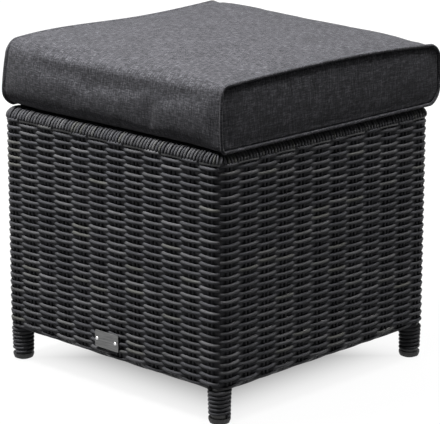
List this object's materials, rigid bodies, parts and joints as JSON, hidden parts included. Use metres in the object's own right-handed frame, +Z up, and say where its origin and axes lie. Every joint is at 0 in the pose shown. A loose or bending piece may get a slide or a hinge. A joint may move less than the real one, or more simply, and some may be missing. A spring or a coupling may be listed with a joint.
{
  "type": "outdoor ottoman footstool",
  "caption": "Square woven outdoor footstool with short wound legs and a lift-off box cushion with piped ends.",
  "frame": {"origin": "on the floor under the middle of the stool and its cushion", "axes": "+Z up; the side with the badge plate faces -Y; +X is to the right seen from that side"},
  "size_m": [0.432, 0.4518, 0.4703],
  "materials": {
    "wicker": "half-round resin strands, satin, charcoal",
    "frame": "powder-coated tube, satin black",
    "foot": "moulded black plastic, matt",
    "badge": "brushed, satin",
    "screw": "satin steel",
    "fabric": "melange outdoor canvas, charcoal",
    "piping": "the same canvas round a cord",
    "foam": "open-cell foam",
    "zip": "moulded coil on woven tape",
    "zip_metal": "cast, satin"
  },
  "bodies": {
    "base": {"weave_front": "wicker", "rim_front": "wicker", "upper_tube_front": "frame", "lower_tube_front": "frame", "weave_right": "wicker", "rim_right": "wicker", "upper_tube_right": "frame", "lower_tube_right": "frame", "weave_back": "wicker", "rim_back": "wicker", "upper_tube_back": "frame", "lower_tube_back": "frame", "weave_left": "wicker", "rim_left": "wicker", "upper_tube_left": "frame", "lower_tube_left": "frame", "weave_corner_front_right": "wicker", "rim_corner_front_right": "wicker", "post_front_right": "frame", "foot_front_right": "foot", "leg_winding_front_right": "wicker", "weave_corner_back_right": "wicker", "rim_corner_back_right": "wicker", "post_back_right": "frame", "foot_back_right": "foot", "leg_winding_back_right": "wicker", "weave_corner_back_left": "wicker", "rim_corner_back_left": "wicker", "post_back_left": "frame", "foot_back_left": "foot", "leg_winding_back_left": "wicker", "weave_corner_front_left": "wicker", "rim_corner_front_left": "wicker", "post_front_left": "frame", "foot_front_left": "foot", "leg_winding_front_left": "wicker", "deck_slat_1": "frame", "deck_slat_2": "frame", "deck_slat_3": "frame", "deck_weave": "wicker", "badge_plate": "badge", "badge_screw_left": "screw", "badge_screw_right": "screw"},
    "cushion": {"cushion_foam": "foam", "cushion_cover": "fabric", "cushion_end_left": "fabric", "cushion_piping_left": "piping", "cushion_end_right": "fabric", "cushion_piping_right": "piping", "zip_chain": "zip"},
    "zip_slider": {"zip_slider": "zip_metal"},
    "zip_pull": {"zip_pull": "zip_metal"}
  },
  "joints": [
    {"name": "cushion_lift", "type": "slide", "parent": "base", "child": "cushion", "axis": [0, 0, 1], "range_m": [0, 0.3]},
    {"name": "zip_run", "type": "slide", "parent": "cushion", "child": "zip_slider", "axis": [-1, 0, 0], "range_m": [0, 0.346]},
    {"name": "pull_swing", "type": "hinge", "parent": "zip_slider", "child": "zip_pull", "pos_m": [0.17449, 0.22451, 0.3993], "axis": [1, 0, 0], "range_deg": [0, 160]}
  ]
}
